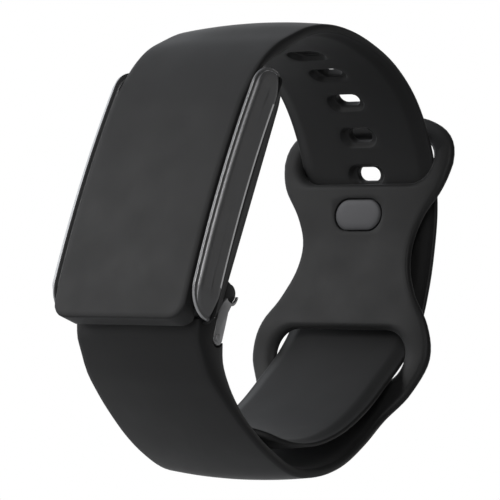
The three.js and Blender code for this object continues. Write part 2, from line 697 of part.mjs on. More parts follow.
// ---------------------------------------------------------------- assembly
buildRail('rail_left', -1);
buildRail('rail_right', 1);
buildBackShell();
buildLidAndGasket();
buildCaseScrews();
buildSensorStack();
buildElectronics();
buildHapticMotor();
buildHingeBar();
buildLink();
buildPin();
buildFaceCover();
const studFrame = frameNear(shortStrap, studPoint);
buildShortStrap(studFrame);
buildLongStrap(studFrame);
buildStud(studFrame);

tracker.position.y = -skinFaceY;
export default tracker;
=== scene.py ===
"""Looks for a screenless fitness tracker on a silicone wrist band.

Lengths are worked out in millimetres in the row frame (X along the wrist, Y into the wrist, Z up the pod)
and turned into metres when a mesh is made.
"""
import json
import math

import bmesh
import bpy
import numpy as np
from mathutils import Matrix, Vector


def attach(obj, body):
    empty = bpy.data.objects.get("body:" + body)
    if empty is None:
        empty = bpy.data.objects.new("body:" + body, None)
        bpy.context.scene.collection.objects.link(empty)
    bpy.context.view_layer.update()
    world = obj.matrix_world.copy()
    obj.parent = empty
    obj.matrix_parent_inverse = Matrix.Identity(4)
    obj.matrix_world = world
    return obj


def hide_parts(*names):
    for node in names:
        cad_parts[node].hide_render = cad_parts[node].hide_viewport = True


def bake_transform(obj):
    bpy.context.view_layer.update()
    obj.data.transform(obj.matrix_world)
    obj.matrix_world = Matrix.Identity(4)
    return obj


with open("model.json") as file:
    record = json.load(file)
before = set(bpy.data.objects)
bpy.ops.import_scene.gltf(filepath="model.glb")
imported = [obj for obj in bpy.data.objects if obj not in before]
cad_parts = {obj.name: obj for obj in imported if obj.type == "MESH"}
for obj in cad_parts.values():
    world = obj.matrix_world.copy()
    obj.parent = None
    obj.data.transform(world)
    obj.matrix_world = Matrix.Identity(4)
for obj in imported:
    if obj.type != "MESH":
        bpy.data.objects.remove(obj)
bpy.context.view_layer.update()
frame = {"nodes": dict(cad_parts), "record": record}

MM = 0.001

# ------------------------------------------------------------------ driving sizes in mm
# They are the CAD model's, or within about half a millimetre of them where the photograph asks for it.
skin_face_y = 7.0            # depths below are measured from the rails' middle, then shifted by this
face_y = -4.1
bow_radius = 200.0
end_radius = 4.8
end_centre_y = 1.41
end_centre_z = 16.8
shell_end_y = 2.1
rail_back_y = 1.7
rail_shift_x = 0.3
shell_back_y = 6.6
window_half = 7.35
cover_half = 13.15
cover_bottom_z = -23.4
cover_top_z = 20.6
cover_thickness = 1.15
cover_front_y = face_y - 0.1
cover_corner = 2.8
lip_depth, lip_gap, lip_end_s = 3.9, 0.3, 8     # the cover's lip round the pod's lower end
cover_rim, strap_rim = 1.05, 0.45               # how far a rounded rim stands out from the flat part
plain_rim, ring_rim = 0.6, 1.05                 # the same on the short strap and on its wide rings
strap_half = 13.3
hole_pitch = 6.9
hole_slip = 0.4
hole_half_u, hole_half_s = 2.35, 1.3
recess_half_u, recess_half_s, recess_depth, recess_slope = 3.7, 2.0, 0.8, 0.45
row_spacing = 1.05           # between the rows of the straps' meshes
barrel_y, barrel_z, barrel_radius = 8.1, -14.2, 1.55
barrel_inner_x, barrel_outer_x = 10.3, 12.0
bar_radius = 0.7
pin_y, pin_z, pin_radius, pin_half = 7.7, -21.9, 0.6, 12.8
leg_radius = 1.15
leg_inner_x = 12.0
link_sheet = 0.5
pocket_radius, pocket_inner_x, pocket_outer_x = 1.6, 11.75, 16
stud_half_u, stud_half_s = 4.7, 2.65


def smoothstep(x):
    x = np.clip(x, 0, 1)
    return x * x * (3 - 2 * x)


def mix(a, b, share):
    return a + (b - a) * share


def bow(z):
    """The pod's gentle bow towards the wrist at height z."""
    return z * z / (2 * bow_radius)


# ------------------------------------------------------------------ lines in the YZ plane
class Line:
    """A smooth line through stations (y, z, other values...), read by arc length."""

    def __init__(self, stations, outward_sign=1):
        step, reach = 0.25, 40               # between read points, and straight on past both ends
        points = np.array(stations, float)
        gaps = np.linalg.norm(np.diff(points[:, :2], axis=0), axis=1)
        knots = np.concatenate([[0], np.cumsum(gaps)])
        slopes = np.diff(points, axis=0) / gaps[:, None]
        inner = slopes[:-1] * gaps[1:, None] + slopes[1:] * gaps[:-1, None]
        inner /= (gaps[:-1] + gaps[1:])[:, None]
        tangents = np.vstack([slopes[0], inner, slopes[-1]])
        s = np.linspace(0, knots[-1], int(knots[-1] / step) + 2)
        i = np.clip(np.searchsorted(knots, s, side="right") - 1, 0, len(gaps) - 1)
        h = gaps[i][:, None]
        t = ((s - knots[i]) / gaps[i])[:, None]
        values = ((2 * t**3 - 3 * t**2 + 1) * points[i] + (t**3 - 2 * t**2 + t) * h * tangents[i]
                  + (3 * t**2 - 2 * t**3) * points[i + 1] + (t**3 - t**2) * h * tangents[i + 1])
        lead, tail = values[0] - values[1], values[-1] - values[-2]
        first, last = values[:1].copy(), values[-1:].copy()
        first[0, :2] += lead[:2] * reach
        last[0, :2] += tail[:2] * reach
        values = np.vstack([first, values, last])
        lengths = np.linalg.norm(np.diff(values[:, :2], axis=0), axis=1)
        self.s = np.concatenate([[0], np.cumsum(lengths)]) - lengths[0]
        self.length = self.s[-2]
        self.values = values
        along = np.gradient(values[:, :2], self.s, axis=0)
        along /= np.linalg.norm(along, axis=1)[:, None]
        self.outward = np.stack([-along[:, 1], along[:, 0]], axis=1) * outward_sign

    def read(self, s):
        """y, z and the other values at arc length s, as one array per value."""
        return [np.interp(s, self.s, column) for column in self.values.T]

    def out(self, s):
        return [np.interp(s, self.s, column) for column in self.outward.T]

    def nearest(self, y, z):
        return self.s[np.argmin(np.hypot(self.values[:, 0] - y, self.values[:, 1] - z))]

    def place(self, u, s, v):
        """Points at u across, s along and v outward of the line, in the row frame, in metres."""
        y, z = self.read(s)[:2]
        out_y, out_z = self.out(s)
        return np.stack([u, y + v * out_y - skin_face_y, z + v * out_z], axis=-1) * MM


# ------------------------------------------------------------------ mesh helpers
def link_new(name, data):
    """A new object with this data, linked into the scene."""
    made = bpy.data.objects.new(name, data)
    bpy.context.scene.collection.objects.link(made)
    return made


def face_outward(mesh, weld):
    """Turns a closed mesh's faces outward, first welding points nearer than weld if it isn't 0."""
    work = bmesh.new()
    work.from_mesh(mesh)
    if weld:
        bmesh.ops.remove_doubles(work, verts=work.verts, dist=weld)
        bmesh.ops.dissolve_degenerate(work, edges=work.edges, dist=weld)
    bmesh.ops.recalc_face_normals(work, faces=work.faces)
    work.to_mesh(mesh)
    work.free()


def mesh_object(name, points, faces):
    """A smooth-shaded piece from points in metres, with doubled points welded."""
    mesh = bpy.data.meshes.new(name)
    mesh.from_pydata([tuple(p) for p in points], [], [tuple(f) for f in faces])
    piece = link_new(name, mesh)
    face_outward(mesh, weld=1e-6)
    mesh.shade_smooth()
    return piece


def apply_modifiers(piece):
    bpy.context.view_layer.update()
    graph = bpy.context.evaluated_depsgraph_get()
    final = bpy.data.meshes.new_from_object(piece.evaluated_get(graph))
    piece.modifiers.clear()
    piece.data = final
    return piece


def bevel(piece, width_mm):
    modifier = piece.modifiers.new("soft edges", "BEVEL")
    modifier.width = width_mm * MM
    modifier.segments = 3
    modifier.limit_method = "ANGLE"
    modifier.angle_limit = math.radians(40)
    modifier.harden_normals = False
    return apply_modifiers(piece)


def smooth_by_angle(piece, angle):
    """Smooth shading that keeps creases sharper than the angle."""
    mesh = piece.data
    mesh.shade_smooth()
    mesh.set_sharp_from_angle(angle=math.radians(angle))
    return piece


def bridge(faces, ring_a, ring_b):
    """Quads between two closed rings of vertex numbers."""
    count = len(ring_a)
    for i in range(count):
        j = (i + 1) % count
        faces.append((ring_a[i], ring_a[j], ring_b[j], ring_b[i]))


def pull_to_oblong(points, half_u, half_s):
    """The nearest points of a round-ended oblong's outline, for points outside it."""
    straight = half_u - half_s
    core = np.stack([np.clip(points[:, 0], -straight, straight), np.zeros(len(points))], axis=1)
    away = points - core
    away /= np.maximum(np.linalg.norm(away, axis=1), 1e-9)[:, None]
    return core + away * half_s


def perimeter(row_from, row_to, column_from, column_to):
    """Grid places around a patch, once round."""
    bottom = [(row_from, c) for c in range(column_from, column_to)]
    right = [(r, column_to) for r in range(row_from, row_to)]
    top = [(row_to, c) for c in range(column_to, column_from, -1)]
    left = [(r, column_from) for r in range(row_to, row_from, -1)]
    return bottom + right + top + left


def slab(name, grid, line, faces_at, rim_at, holes):
    """A sheet with two faces, a rounded rim and rounded holes, bent along a line.

    grid is rows x columns of (u, s), its border inset from the outline by the rim.
    faces_at(u, s) gives the height v of the inner and the outer face.
    rim_at(s, thickness) gives the rim's outward steps and its drops below the outer face.
    A hole has rows and columns (the patch it takes from the grid), a centre s, and oblong loops of
    (half_u, half_s, sink of the inner face, sink of the outer face), the hole's edge last.
    """
    row_count, column_count = grid.shape[:2]
    places = []
    faces = []

    def add(u, s, v):
        first = len(places)
        places.extend(zip(np.atleast_1d(u), np.atleast_1d(s), np.atleast_1d(v)))
        return list(range(first, len(places)))

    def add_ring(ring, points, v):
        """Adds a ring of points next to the last one, with the faces between them."""
        next_ring = add(points[:, 0], points[:, 1], v)
        bridge(faces, ring, next_ring)
        return next_ring

    cut = np.zeros((row_count - 1, column_count - 1), bool)
    for hole in holes:
        (row_a, row_b), (column_a, column_b) = hole["rows"], hole["columns"]
        cut[row_a:row_b, column_a:column_b] = True
    needed = np.zeros((row_count, column_count), bool)
    for r in range(row_count - 1):
        for c in range(column_count - 1):
            if not cut[r, c]:
                needed[r:r + 2, c:c + 2] = True
    border = perimeter(0, row_count - 1, 0, column_count - 1)
    kept = border + [place for hole in holes for place in perimeter(*hole["rows"], *hole["columns"])]
    for r, c in kept:
        needed[r, c] = True
    heights = faces_at(grid[..., 0], grid[..., 1])
    number = [np.full((row_count, column_count), -1), np.full((row_count, column_count), -1)]
    for side in (0, 1):
        for r, c in np.argwhere(needed):
            number[side][r, c] = add(grid[r, c, 0], grid[r, c, 1], heights[side][r, c])[0]
        for r, c in np.argwhere(~cut):
            n = number[side]
            faces.append((n[r, c], n[r, c + 1], n[r + 1, c + 1], n[r + 1, c]))

    for hole in holes:
        around = perimeter(*hole["rows"], *hole["columns"])
        outer_points = np.array([grid[r, c] for r, c in around])
        centre = np.array([0, hole["centre"]])
        edge_rings = []
        for side in (0, 1):
            ring = [number[side][r, c] for r, c in around]
            first_loop = pull_to_oblong(outer_points - centre, *hole["loops"][0][:2]) + centre
            halfway = (outer_points + first_loop) / 2
            ring = add_ring(ring, halfway, faces_at(halfway[:, 0], halfway[:, 1])[side])
            for half_u, half_s, sink_inner, sink_outer in hole["loops"]:
                loop = pull_to_oblong(outer_points - centre, half_u, half_s) + centre
                sink = sink_inner if side == 0 else -sink_outer
                ring = add_ring(ring, loop, faces_at(loop[:, 0], loop[:, 1])[side] + sink)
            edge_rings.append(ring)
        bridge(faces, edge_rings[0], edge_rings[1])

    edge = np.array([grid[r, c] for r, c in border])
    along = np.roll(edge, -1, axis=0) - np.roll(edge, 1, axis=0)
    outward = np.stack([along[:, 1], -along[:, 0]], axis=1)
    outward /= np.linalg.norm(outward, axis=1)[:, None]
    inner_v, outer_v = faces_at(edge[:, 0], edge[:, 1])
    ring = [number[1][r, c] for r, c in border]
    for step, drop in rim_at(edge[:, 1], outer_v - inner_v):
        ring = add_ring(ring, edge + outward * step[:, None], outer_v - drop)
    bridge(faces, ring, [number[0][r, c] for r, c in border])

    u, s, v = np.array(places, float).T
    return mesh_object(name, line.place(u, s, v), faces)


def rim_profile(reach, front, back, wall, depth, thickness):
    """Steps round a rim: a front fillet, a wall down to depth, its end, and the wall's inside.

    front and back are (outward, downward) radii; every value is an array along the border.
    """
    steps = []
    for angle in np.radians([18, 36, 54, 72, 90]):
        steps.append((reach - front[0] * (1 - math.sin(angle)), front[1] * (1 - math.cos(angle))))
    for angle in np.radians([0, 22.5, 45, 67.5, 90]):
        steps.append((reach - back[0] * (1 - math.cos(angle)), depth - back[1] * (1 - math.sin(angle))))
    inner_radius = np.minimum(0.4, depth - thickness)
    for angle in np.radians([90, 60, 30, 0]):
        steps.append((reach - wall + inner_radius * (1 - math.cos(angle)),
                      depth - inner_radius * (1 - math.sin(angle))))
    steps.append((reach - wall, thickness))
    return steps


def row_places(marks):
    """Row places through the marks, evenly spread between them, with every mark kept."""
    rows = [marks[0]]
    for low, high in zip(marks, marks[1:]):
        count = max(1, round((high - low) / row_spacing))
        rows.extend(np.linspace(low, high, count + 1)[1:])
    return np.array(rows)


def nearest_number(values, value):
    return int(np.argmin(np.abs(values - value)))


def straight_row(across, half, s):
    """A grid row of (u, s) at the column places across a half width."""
    return np.stack([across * half, np.full(len(across), s)], axis=1)


def tongue(start_row, tip_s, count, half, base_s):
    """Rows that round a sheet off from start_row to a superellipse end."""
    angles = np.linspace(math.pi, 0, len(start_row))
    power = 2 / 2.5
    tip_u = half * np.sign(np.cos(angles)) * np.abs(np.cos(angles)) ** power
    tip = np.stack([tip_u, base_s + (tip_s - base_s) * np.abs(np.sin(angles)) ** power], axis=1)
    return [start_row + (tip - start_row) * (j / count) for j in range(1, count + 1)]


# ------------------------------------------------------------------ straps
# Skin-side stations of the long strap: y, z, thickness, half width.
long_stations = [
    (3.0, 25.0, 2.8, 13.4), (5.2, 27.7, 2.8, 13.4), (8.2, 30.9, 2.8, 13.4),
    (12.5, 33.9, 2.7, 13.4), (18.3, 36.1, 2.6, 13.4), (24.7, 37.2, 2.5, 13.4), (31.5, 37.2, 2.4, 13.4),
    (37.6, 35.5, 2.3, 13.6), (43.2, 32.2, 2.2, 13.7), (48.1, 27.7, 2.1, 13.7), (52.0, 21.9, 2.1, 13.5),
    (54.4, 15.4, 2.1, 13.3), (55.7, 8.8, 2.1, 13.3), (56.0, 2.4, 2.1, 13.3), (54.3, -3.8, 2.1, 13.3),
    (51.3, -9.8, 2.1, 13.3), (47.7, -16.2, 2.1, 13.3), (42.6, -22.4, 2.0, 13.3), (36.2, -27.0, 1.9, 13.3),
    (29.4, -29.2, 1.8, 13.3), (24.0, -29.2, 1.5, 13.3),
]
short_stations = [
    (8.15, -18.2, 7.5, 12.8), (9.7, -22.0, 7.2, 12.6), (11.0, -24.7, 5.6, 12.6), (13.4, -27.2, 4.0, 12.8),
    (17.4, -29.7, 2.9, 13.0), (22.4, -31.5, 2.5, 13.2), (28.0, -32.5, 2.4, 13.3), (34.0, -32.6, 2.3, 13.3),
    (39.8, -30.5, 2.3, 13.3), (45.1, -26.7, 2.3, 13.4), (49.6, -21.2, 2.2, 13.4), (52.9, -15.6, 2.3, 13.5),
    (54.4, -10.2, 2.5, 15.9), (53.8, -4.8, 2.6, 18.3), (52.5, 0.6, 2.4, 17.2), (52.1, 5.6, 2.2, 13.8),
    (51.5, 10.4, 2.1, 11.7), (50.7, 15.2, 2.1, 11.4), (49.4, 19.7, 2.1, 13.1), (47.9, 24.4, 2.3, 16.3),
    (47.2, 28.6, 2.5, 17.5), (46.9, 32.0, 2.5, 17.5), (46.9, 34.6, 2.4, 17.5), (47.0, 36.8, 2.2, 17.5),
    (47.1, 38.4, 1.9, 17.5),
]
short_line = Line(short_stations, outward_sign=-1)
stud_s = short_line.nearest(49.4, 19.7)


def meet_stud_axis(line_y, line_z):
    """The number of a line's point nearest the stud's axis, on the stud's side, and its height there."""
    stud_y, stud_z = short_line.read(stud_s)[:2]
    out_y, out_z = short_line.out(stud_s)
    off_y, off_z = line_y - stud_y, line_z - stud_z
    ahead = off_y * out_y + off_z * out_z
    aside = np.abs(off_y * out_z - off_z * out_y) + np.where((ahead > 0) & (ahead < 10), 0, 1e6)
    nearest = np.argmin(aside)
    return nearest, ahead[nearest]


def long_outer_line():
    """The long strap's outer line: up the cover's front, then over the strap's crown."""
    lean, lean_from_z, lean_length = 1.25, 13.5, 10.0     # how the cover's top leans in to the strap
    skin = Line(long_stations)
    stations = []
    for z in np.linspace(cover_bottom_z, cover_top_z, 14):
        inward = lean * float(smoothstep((z - lean_from_z) / lean_length))
        stations.append((cover_front_y + bow(z) + inward, z, cover_thickness, cover_half))
    for y, z, thick, half in long_stations:
        out_y, out_z = skin.out(skin.nearest(y, z))
        stations.append((y + thick * out_y, z + thick * out_z, thick, half))
    return Line(stations)


long_line = long_outer_line()
cover_end_s = long_line.nearest(cover_front_y + bow(cover_top_z) + 1.0, cover_top_z)
tail_start_s = long_line.nearest(36.2, -28.9)
tail_tip_s = long_line.length
share_start_s, share_length = cover_end_s - 1.5, 7.0


def strap_share(s):
    """0 on the face cover, 1 on the free strap."""
    return smoothstep((s - share_start_s) / share_length)


def long_reach(s):
    """How far the long strap's rim stands out from its flat part."""
    return mix(cover_rim, strap_rim, strap_share(s))


def long_faces(u, s):
    thick, half = long_line.read(s)[2:4]
    share = strap_share(s)
    edge = np.abs(u) / half
    crowned = smoothstep((s - cover_end_s - 1.0) / 17.0)
    crown = crowned * np.minimum(0.36 * thick, 0.8) + (1 - crowned) * 0.12
    bevel_start, bevel_slope, softness = half - 2.5, 0.26, 0.12
    rise = bevel_slope * np.logaddexp(0, (np.abs(u) - bevel_start) / softness) * softness
    return -thick + share * rise, -crown * edge**2


def long_rim(s, thickness):
    share = strap_share(s)
    reach = long_reach(s)
    wall = reach - 0.05 * (1 - share)
    room = -cover_bottom_z - s - lip_gap - end_centre_z
    pod_end = end_centre_y - np.sqrt(np.maximum(end_radius**2 - np.minimum(room, end_radius) ** 2, 0))
    allowed = np.where(room >= end_radius, lip_depth, np.minimum(pod_end - cover_front_y, lip_depth))
    lip = np.maximum(allowed, thickness)
    depth = np.where(s < lip_end_s, lip, thickness)
    front = (mix(0.4, strap_rim, share), mix(0.38, 0.45 * thickness, share))
    back = (mix(0.25, 0.4, share), mix(0.25, 0.4 * thickness, share))
    return rim_profile(reach, front, back, wall, depth, thickness)


def columns(marks, counts):
    """Column places from -1 to 1, mirrored about the middle."""
    half = [marks[0]]
    for low, high, count in zip(marks, marks[1:], counts):
        half.extend(np.linspace(low, high, count + 1)[1:])
    half = np.array(half)
    return np.concatenate([-half[:0:-1], half])


def adjusting_hole():
    """Loops for a through hole with soft edges in a bevelled recess on the skin side."""
    edge = 0.22
    loops = []
    for grow, sink in ((0.16, 0.0), (0.05, 0.03), (-0.05, 0.12), (-recess_slope, recess_depth - 0.1),
                       (-recess_slope - 0.12, recess_depth)):
        loops.append((recess_half_u + grow, recess_half_s + grow, sink, 0.0))
    for angle in np.radians([0, 30, 60, 90]):
        grow = edge * (1 - math.sin(angle))
        sink = edge * (1 - math.cos(angle))
        loops.append((hole_half_u + grow, hole_half_s + grow, recess_depth + sink, sink))
    return loops


def build_long_strap():
    """The long strap and the face cover as one sheet, with its row of adjusting holes."""
    skin_y, skin_z = (long_line.values[:, :2] - long_line.values[:, 2:3] * long_line.outward).T
    skin_s = np.concatenate([[0], np.cumsum(np.hypot(np.diff(skin_y), np.diff(skin_z)))])
    stud_skin_s = skin_s[meet_stud_axis(skin_y, skin_z)[0]]
    hole_s = [np.interp(stud_skin_s + k * hole_pitch - hole_slip, skin_s, long_line.s)
              for k in range(-5, 3)]

    patch_share, patch_half = 0.42, 3.2      # the part of the width, and half the length, round a hole
    across = columns([0, patch_share, 0.8, 0.88, 1.0], [5, 4, 2, 2])
    marks = [cover_rim, cover_corner, share_start_s]
    for s in hole_s:
        marks += [s - patch_half, s + patch_half]
    marks += [tail_start_s]
    rows_s = row_places(marks)
    rows = [straight_row(across, long_line.read(s)[3] - long_reach(s), s) for s in rows_s]
    rows += tongue(rows[-1], tail_tip_s - strap_rim, 9, strap_half - strap_rim, tail_start_s + 1.5)
    grid = np.array(rows)
    corner = cover_corner - cover_rim
    for r, c in perimeter(0, len(grid) - 1, 0, len(across) - 1):
        u, s = grid[r, c]
        if s < cover_corner:
            core_u = np.clip(u, -(cover_half - cover_corner), cover_half - cover_corner)
            away = np.array([u - core_u, s - cover_corner])
            grid[r, c] = np.array([core_u, cover_corner]) + away / np.linalg.norm(away) * corner
    holes = [
        {
            "rows": (nearest_number(rows_s, s - patch_half), nearest_number(rows_s, s + patch_half)),
            "columns": (nearest_number(across, -patch_share), nearest_number(across, patch_share)),
            "centre": s, "loops": adjusting_hole(),
        }
        for s in hole_s
    ]
    piece = slab("strap_with_cover", grid, long_line, long_faces, long_rim, holes)
    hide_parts("long_strap", "face_cover")
    return piece


def ring_share(half):
    """0 where the short strap is as wide as the long one, 1 on its wide rings."""
    return smoothstep((half - strap_half) / 2.5)


def short_reach(s):
    """How far the short strap's rim stands out from its flat part: wide and round on the rings."""
    return mix(plain_rim, ring_rim, ring_share(short_line.read(s)[3]))


def short_faces(u, s):
    thick, half = short_line.read(s)[2:4]
    ring = ring_share(half)
    crown = mix(0.36, 0.24, ring) * np.minimum(thick, 2.6)
    edge = np.abs(u) / half
    dish = 0.1 * thick * ring * edge**2
    return dish, thick - crown * edge**2


def short_rim(s, thickness):
    reach = short_reach(s)
    half_depth = 0.5 * thickness
    return rim_profile(reach, (reach, half_depth), (reach, half_depth), reach, thickness, thickness)


def ring_slot(half_u, half_s, end_edge, thickness):
    """Loops for a slot in a ring, its edge rounded right through, more widely at its ends."""
    edge = 0.95
    loops = []
    for angle in np.radians([0, 22, 44, 66, 90]):
        grow = edge * (1 - math.sin(angle))
        sink = 0.5 * thickness * (1 - math.cos(angle))
        loops.append((half_u + grow * end_edge / edge, half_s + grow, sink, sink))
    return loops


def build_short_strap():
    """The short strap as one sheet, with its two ring slots and the stud's seat."""
    upper_s = short_line.nearest(47.1, 29.1)
    lower_s = short_line.nearest(53.8, -4.4)
    upper_length = 9.1           # from the upper slot's middle to the strap's tip
    patch_share = 0.52           # the part of the width round the stud's seat
    lower_from, lower_to = lower_s - 7.2, lower_s + 7.2
    stud_from, stud_to = stud_s - 4.2, stud_s + 4.2
    across = columns([0, patch_share, 1.0], [6, 7])
    rows_s = row_places([plain_rim, lower_from, lower_to, stud_from, stud_to, upper_s - 0.8])
    rows = [straight_row(across, short_line.read(s)[3] - short_reach(s), s) for s in rows_s]
    ring_half = short_line.read(upper_s)[3] - short_reach(upper_s)
    rows += tongue(rows[-1], upper_s + upper_length - ring_rim, 1, ring_half, upper_s - 0.5)
    grid = np.array(rows)

    def patch(row_from, row_to, column_share, centre, loops):
        return {
            "rows": (nearest_number(rows_s, row_from), nearest_number(rows_s, row_to)),
            "columns": (nearest_number(across, -column_share), nearest_number(across, column_share)),
            "centre": centre, "loops": loops,
        }

    lower = patch(lower_from, lower_to, 1.0, lower_s, ring_slot(13.4, 4.6, 2.4, 2.35))
    upper = patch(stud_to, upper_s, 1.0, upper_s, ring_slot(13.6, 4.2, 2.0, 2.25))
    upper["rows"] = (upper["rows"][0], len(grid) - 1)
    seat = patch(stud_from, stud_to, patch_share, stud_s, stud_seat_loops())
    holes = [lower, upper, seat]
    piece = slab("ring_strap", grid, short_line, short_faces, short_rim, holes)
    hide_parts("short_strap")
    return piece


def stud_seat_loops():
    """Loops for the stud's oval seat on the skin side and the neck hole through its floor."""
    gap, depth, edge = 0.24, 0.65, 0.18
    seat_u, seat_s = stud_half_u + gap, stud_half_s + gap
    neck_u, neck_s = 2.2, 0.75
    loops = []
    for angle in np.radians([0, 45, 90]):
        grow = edge * (1 - math.sin(angle))
        loops.append((seat_u + grow, seat_s + grow, edge * (1 - math.cos(angle)), 0.0))
    loops.append((seat_u, seat_s, depth - 0.05, 0.0))
    loops.append((seat_u - 0.05, seat_s - 0.05, depth, 0.0))
    for grow, sink in ((0.2, 0.0), (0.06, 0.06), (0.0, 0.2)):
        loops.append((neck_u + grow, neck_s + grow, depth, sink))
    return loops


# ------------------------------------------------------------------ hard parts
def banded_skin(name, rings, bands=None):
    """A closed skin through rings in mm, with flat ends.

    bands gives each gap's material number, or a function of the point; without it they are all 0.
    """
    bands = bands or [0] * (len(rings) - 1)
    points = [point for ring in rings for point in ring]
    count = len(rings[0])
    faces = []
    numbers = []
    for k in range(len(rings) - 1):
        for i in range(count):
            j = (i + 1) % count
            faces.append((k * count + i, k * count + j, (k + 1) * count + j, (k + 1) * count + i))
            middle = (np.array(points[k * count + i]) + np.array(points[(k + 1) * count + j])) / 2
            numbers.append(bands[k](middle) if callable(bands[k]) else bands[k])
    faces.append(tuple(range(count)))
    faces.append(tuple(range(len(points) - count, len(points))))
    numbers += [numbers[0], numbers[-1]]
    mesh = bpy.data.meshes.new(name)
    mesh.from_pydata([tuple(np.array(p) * MM) for p in points], [], faces)
    mesh.shade_smooth()
    mesh.polygons.foreach_set("material_index", numbers)
    face_outward(mesh, weld=0)
    return link_new(name, mesh)


def in_row_frame(ring):
    return [(x, y - skin_face_y, z) for x, y, z in ring]


def rail_outline(x, inset, back_inset):
    """The rail's side outline at depth x, inset from its full size."""
    radius = end_radius - inset
    back = rail_back_y - back_inset
    end_angle = math.acos(np.clip((back + bow(end_centre_z) - end_centre_y) / radius, -1, 1))
    ring = []
    steps = 26
    for angle in np.linspace(math.pi, 2 * math.pi - end_angle, steps + 1):
        ring.append((end_centre_y + radius * math.cos(angle), -end_centre_z + radius * math.sin(angle)))
    for z in np.linspace(ring[-1][1], -ring[-1][1], steps + 1)[1:-1]:
        ring.append((back + bow(z) * (1 if abs(z) < end_centre_z else end_centre_z**2 / z**2), z))
    for angle in np.linspace(end_angle, math.pi, steps + 1):
        ring.append((end_centre_y + radius * math.cos(angle), end_centre_z + radius * math.sin(angle)))
    for z in np.linspace(end_centre_z, -end_centre_z, steps + 1)[1:-1]:
        ring.append((face_y + inset + bow(z), z))
    dome = 0.9
    placed = []
    for y, z in ring:
        sink = dome * smoothstep((abs(z) - 17.2) / 4.6) * smoothstep((x - 13.9) / 0.8)
        placed.append((x - sink, y, z))
    return placed


def build_rail(name, side):
    """A rail with a front chamfer, a fine groove, a second edge and a back edge; the three edges are in a
    brighter metal, painted highlight lines.
    """
    dark, bright = 0, 1

    # Bright on the front part of the outline only: the painted highlight along the front edges.
    def front_highlight_band(point):
        return bright if point[1] + skin_face_y < rail_back_y else dark

    # Bright behind the side face and short of the rounded tips, where the painted highlight fades out.
    def back_highlight_band(point):
        behind = point[1] + skin_face_y - bow(point[2]) > 0.4
        return bright if behind and abs(point[2]) < 15.8 else dark

    # x, inset of the outline, inset of its back, material number up to the next row
    profile = [
        (13.20, 0.80, 0.30, dark), (13.30, 0.72, 0.14, dark), (13.44, 0.66, 0.04, dark),
        (13.54, 0.06, 0.0, dark), (13.59, 0.0, 0.0, front_highlight_band), (13.84, 0.03, 0.0, front_highlight_band),
        (13.95, 0.13, 0.0, front_highlight_band), (13.97, 0.22, 0.0, dark), (13.98, 0.32, 0.0, dark),
        (13.99, 0.38, 0.0, dark), (14.00, 0.44, 0.0, dark), (14.03, 0.48, 0.0, dark),
        (14.20, 0.49, 0.0, front_highlight_band), (14.34, 0.50, 0.0, front_highlight_band), (14.46, 0.55, 0.0, dark),
        (14.57, 0.66, 0.0, back_highlight_band), (14.69, 0.90, 0.50, dark), (14.70, 1.3, 0.66, dark),
        (14.70, 1.7, 0.9, dark), (14.70, 2.4, 1.7, dark), (14.70, 2.8, 2.1, dark), (14.70, 3.0, 2.3, dark),
    ]
    rings = []
    for x, inset, back, _ in profile:
        ring = in_row_frame(rail_outline(x, inset, back))
        rings.append([(side * (px + rail_shift_x), py, pz) for px, py, pz in ring])
    piece = banded_skin(name + "_bright_edged", rings, [row[3] for row in profile[:-1]])
    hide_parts(name)
    return smooth_by_angle(piece, 38)


def round_box_ring(y, half_x, half_z, radius, bend):
    """A rounded rectangle in the XZ plane at depth y, bowed by bend, always with the same point count."""
    corner_steps, side_steps = 9, 14
    ring = []
    corners = [(1, 1, 0), (-1, 1, 90), (-1, -1, 180), (1, -1, 270)]
    for k, (sx, sz, start) in enumerate(corners):
        for angle in np.radians(np.linspace(start, start + 90, corner_steps + 1)):
            ring.append((sx * (half_x - radius) + radius * math.cos(angle),
                         sz * (half_z - radius) + radius * math.sin(angle)))
        next_sx, next_sz, next_start = corners[(k + 1) % 4]
        angle = math.radians(next_start)
        last = np.array(ring[-1])
        first = np.array((next_sx * (half_x - radius) + radius * math.cos(angle),
                          next_sz * (half_z - radius) + radius * math.sin(angle)))
        for share in np.linspace(0, 1, side_steps + 1)[1:-1]:
            ring.append(tuple(last + (first - last) * share))
    return [(x, y + bend * bow(z) - skin_face_y, z) for x, z in ring]


def case_half_length(y):
    rise = min(abs(y - shell_end_y), end_radius)
    return end_centre_z + math.sqrt(end_radius**2 - rise**2)


